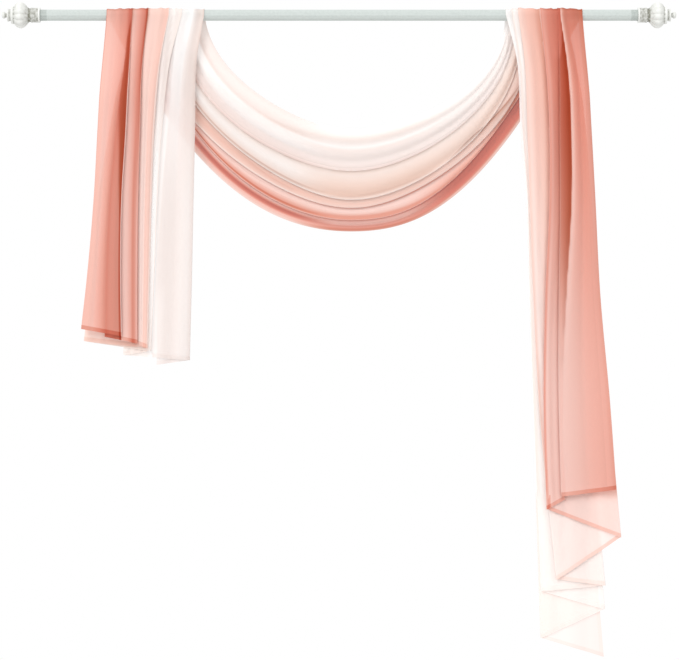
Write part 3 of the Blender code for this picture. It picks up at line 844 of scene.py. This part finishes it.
    def execute(self, context):
        self.settings = context.scene.scarf_cloth
        self.hardware = context.scene.scarf_hardware
        left = np.linspace(1, 0, self.left_rows + 1)[:-1] ** ROWS_CROWD_AT_ROD
        right = np.linspace(0, 1, self.right_rows + 1)[1:] ** ROWS_CROWD_AT_ROD
        turned = np.linspace(0, np.pi, self.wrap_rows + 1)
        stretches = [
            self.tail(LEFT, left),
            self.wrap(LEFT, turned),
            self.swag(np.linspace(-1, 1, self.swag_rows + 1)[1:-1]),
            self.wrap(RIGHT, turned[::-1]),
            self.tail(RIGHT, right),
        ]
        points = np.concatenate([part[0] for part in stretches])
        values = {
            key: np.concatenate([np.broadcast_to(part[1][key], part[0].shape[:2]) for part in stretches])
            for key in stretches[0][1]
        }
        rows, columns = points.shape[:2]
        steps = np.linalg.norm(np.diff(points, axis=0), axis=2)
        v = np.concatenate([np.zeros((1, columns)), np.cumsum(steps, axis=0)])
        v *= FLAT_LENGTH / v[-1]
        u = self.widths() * FLAT_WIDTH + 0 * v
        faces = grid_faces(rows, columns)
        cloth = add_piece(
            "scarf_cloth", points, faces.tolist(),
            [
                voile_material("Voile left tail", self.settings, LEFT_AT_ROD, LEFT_AT_HEM),
                voile_material("Voile swag", self.settings, SWAG_AT_LEFT, SWAG_IN_MIDDLE, SWAG_AT_RIGHT),
                voile_material("Voile right tail", self.settings, RIGHT_AT_ROD, RIGHT_AT_HEM),
            ],
            "scarf", values,
        )
        layer = cloth.data.uv_layers.new(name="cloth")
        layer.data.foreach_set("uv", np.stack([u, v], axis=2).reshape(-1, 2)[faces.ravel()].ravel())
        first = self.left_rows + self.wrap_rows
        last = first + self.swag_rows - 1
        row = np.repeat(np.arange(rows - 1), columns - 1)
        stretch = (row >= first).astype(int) + (row >= last)
        cloth.data.polygons.foreach_set("material_index", stretch)
        cloth.data.update()
        return {"FINISHED"}


def painted_material(name, face, groove, roughness, mottle):
    """Paint with a dark wash where the mesh has hollows, broken up by noise."""
    made, tree, output = new_material(name)
    where = add_node(tree, "ShaderNodeTexCoord").outputs["Object"]
    hollow = add_node(tree, "ShaderNodeAttribute", attribute_name="hollow").outputs["Fac"]
    noise = add_node(tree, "ShaderNodeTexNoise", {"Vector": where, "Scale": 160.0, "Detail": 4.0}).outputs[0]
    spread = map_range(tree, noise, *NOISE_RANGE, 1 - mottle, 1 + mottle)
    wash = add_node(tree, "ShaderNodeMath", {0: hollow, 1: spread}, operation="MULTIPLY", use_clamp=True)
    colour = mix_colours(tree, wash.outputs[0], linear(*face), linear(*groove))
    bump = add_node(tree, "ShaderNodeBump", {"Height": noise, "Strength": 0.15, "Distance": 0.0005})
    surface = {"Base Color": colour, "Roughness": roughness, "Normal": bump.outputs[0]}
    shader = add_node(tree, "ShaderNodeBsdfPrincipled", surface)
    tree.links.new(shader.outputs[0], output.inputs[0])
    return made


class SCARF_OT_rod(bpy.types.Operator):
    """Makes the fluted rod, finer than its solid"""

    bl_idname = "scarf.rod"
    bl_label = "Fluted rod"

    sides_per_flute = 10
    flute_roundness = 0.7
    flute_wash = 0.55
    # The rod is darker in the last stretch before a finial
    reed_zone, reed_step, reed_wash = 17.5 * MM, 0.5 * MM, 0.35
    plain_rings = np.linspace(-0.7, 0.7, 15)
    sharp_angle = 0.9

    def execute(self, context):
        settings = context.scene.scarf_hardware
        sides = settings.flutes * self.sides_per_flute
        turn = 2 * np.pi * np.arange(sides) / sides
        dip = np.abs(np.sin(turn * settings.flutes / 2)) ** self.flute_roundness
        radius = settings.rod_radius - settings.flute_depth * dip
        half = HALF_SHOWN_ROD + ROD_IN_SOCKET
        dark_end_rings = HALF_SHOWN_ROD - self.reed_zone + self.reed_step * np.array([-1, 1])
        ends = np.array([HALF_SHOWN_ROD, half])
        x = np.unique(np.concatenate([-ends, ends, -dark_end_rings, dark_end_rings, self.plain_rings]))
        rings = np.broadcast_arrays(x[:, None], radius * np.cos(turn), radius * np.sin(turn))
        hollow = np.tile(self.flute_wash * dip**2, (len(x), 1))
        hollow[np.abs(x) > HALF_SHOWN_ROD - self.reed_zone] += self.reed_wash
        points, faces = closed_tube(np.stack(rings, axis=2), [[-half, 0, 0], [half, 0, 0]], True)
        finish = painted_material("Rod paint", *ROD_PAINT)
        values = {"hollow": np.append(hollow.ravel(), [0.0, 0.0])}
        add_piece("fluted_rod", points, faces, [finish], "rod", values, self.sharp_angle)
        return {"FINISHED"}


class SCARF_OT_finials(bpy.types.Operator):
    """Turns both finials, finer than their solids"""

    bl_idname = "scarf.finials"
    bl_label = "Finials"

    sides = 192
    ball_rows = 25
    sharp_angle = 0.8

    def rows(self):
        """Distance along, radius and how lobed: the socket and the outline, with the ball's curve smooth."""
        table = np.array(FINIAL_OUTLINE, float)
        ball = table[table[:, 2] == 1]
        along = np.linspace(ball[0, 0], ball[-1, 0], self.ball_rows)
        smooth = np.stack([along, through(ball[:, 0], ball[:, 1], along), np.ones_like(along)], axis=1)
        before = table[table[:, 0] < ball[0, 0]]
        after = table[table[:, 0] > ball[-1, 0]]
        socket = np.array([[SOCKET_DEPTH / MM, SOCKET_RADIUS / MM, 0], [0.0, SOCKET_RADIUS / MM, 0]])
        return np.concatenate([socket, before, smooth, after])

    def hollows(self, rows, groove):
        """How much of the dark wash each point has."""
        starts, washes = np.array(FINIAL_WASH).T
        wash = washes[np.searchsorted(starts, rows[:, 0], side="right") - 1][:, None]
        wash = wash + rows[:, 2:] * groove**3 * GROOVE_WASH
        sunk = np.maximum(rows[1:-2, 1], rows[3:, 1]) - rows[2:-1, 1]
        wash[2:-1] += np.clip(sunk / SUNK_IN_FULL, 0, SUNK_MOST)[:, None]
        return wash

    def execute(self, context):
        settings = context.scene.scarf_hardware
        rows = self.rows()
        turn = 2 * np.pi * np.arange(self.sides) / self.sides
        groove = 1 - np.abs(np.sin(turn * settings.lobes / 2))
        radius = rows[:, 1:2] * MM * (1 - rows[:, 2:] * settings.lobe_depth * groove)
        along = HALF_SHOWN_ROD + rows[:, :1] * MM
        values = {"hollow": np.append(self.hollows(rows, groove).ravel(), [0.0, 0.0])}
        finish = painted_material("Antique paint", *FINIAL_PAINT)
        for name, side in (("finial_left", -1), ("finial_right", 1)):
            rings = np.broadcast_arrays(side * along, radius * np.cos(turn), radius * np.sin(turn))
            tips = [[side * along[0, 0], 0, 0], [side * (HALF_SHOWN_ROD + FINIAL_LENGTH), 0, 0]]
            points, faces = closed_tube(np.stack(rings, axis=2), tips, side > 0)
            add_piece(name + "_turned", points, faces, [finish], name, values, self.sharp_angle)
        return {"FINISHED"}


class SCARF_OT_stage(bpy.types.Operator):
    """Sets the white background, the soft light and the camera"""

    bl_idname = "scarf.stage"
    bl_label = "Stage"

    def execute(self, context):
        settings = context.scene.scarf_stage
        scene = context.scene
        world = bpy.data.worlds.new("White")
        world.use_nodes = True
        tree = world.node_tree
        seen = add_node(tree, "ShaderNodeLightPath")
        is_camera = seen.outputs["Is Camera Ray"]
        strength = map_range(tree, is_camera, 0.0, 1.0, settings.fill, settings.background)
        tree.links.new(strength, tree.nodes["Background"].inputs["Strength"])
        tree.nodes["Background"].inputs["Color"].default_value = (1, 1, 1, 1)
        scene.world = world
        light = bpy.data.lights.new("Key", "SUN")
        light.energy = settings.key_strength
        light.angle = settings.key_softness
        key = bpy.data.objects.new("Key", light)
        key.location = KEY_LIGHT_FROM
        key.rotation_euler = (-Vector(KEY_LIGHT_FROM)).to_track_quat("-Z", "Y").to_euler()
        scene.collection.objects.link(key)
        camera = bpy.data.cameras.new("Camera")
        camera.lens = settings.lens
        camera.sensor_width = 36.0
        distance = settings.across * settings.lens / camera.sensor_width
        eye = bpy.data.objects.new("Camera", camera)
        eye.location = (MIDDLE_IS_LEFT * PIXEL, -distance, (ROD_ROW - PICTURE_HEIGHT / 2) * PIXEL)
        eye.rotation_euler = (np.pi / 2, 0, 0)
        camera.clip_end = 100
        scene.collection.objects.link(eye)
        scene.camera = eye
        scene.view_settings.view_transform = "Standard"
        scene.cycles.transparent_max_bounces = 48
        scene.cycles.max_bounces = 12
        return {"FINISHED"}


class SCARF_PT_sidebar(bpy.types.Panel):
    """The pieces and the stage, with their sizes"""

    bl_label = "Scarf valance"
    bl_idname = "SCARF_PT_sidebar"
    bl_space_type = "VIEW_3D"
    bl_region_type = "UI"
    bl_category = "Scarf valance"

    def draw(self, context):
        for operator, group in (
            ("scarf.rod", "scarf_hardware"), ("scarf.finials", None),
            ("scarf.cloth", "scarf_cloth"), ("scarf.stage", "scarf_stage"),
        ):
            box = self.layout.box()
            box.operator(operator)
            if group:
                settings = getattr(context.scene, group)
                for key in settings.__annotations__:
                    box.prop(settings, key)


SETTINGS = {"scarf_cloth": ClothSettings, "scarf_hardware": HardwareSettings, "scarf_stage": StageSettings}
CLASSES = (
    ClothSettings, HardwareSettings, StageSettings,
    SCARF_OT_cloth, SCARF_OT_rod, SCARF_OT_finials, SCARF_OT_stage, SCARF_PT_sidebar,
)


def register():
    for made in CLASSES:
        bpy.utils.register_class(made)
    for key, group in SETTINGS.items():
        setattr(bpy.types.Scene, key, bpy.props.PointerProperty(type=group))


def unregister():
    for key in SETTINGS:
        delattr(bpy.types.Scene, key)
    for made in reversed(CLASSES):
        bpy.utils.unregister_class(made)


def main():
    register()
    bpy.ops.scarf.rod()
    bpy.ops.scarf.finials()
    bpy.ops.scarf.cloth()
    bpy.ops.scarf.stage()


if __name__ == "__main__":
    main()
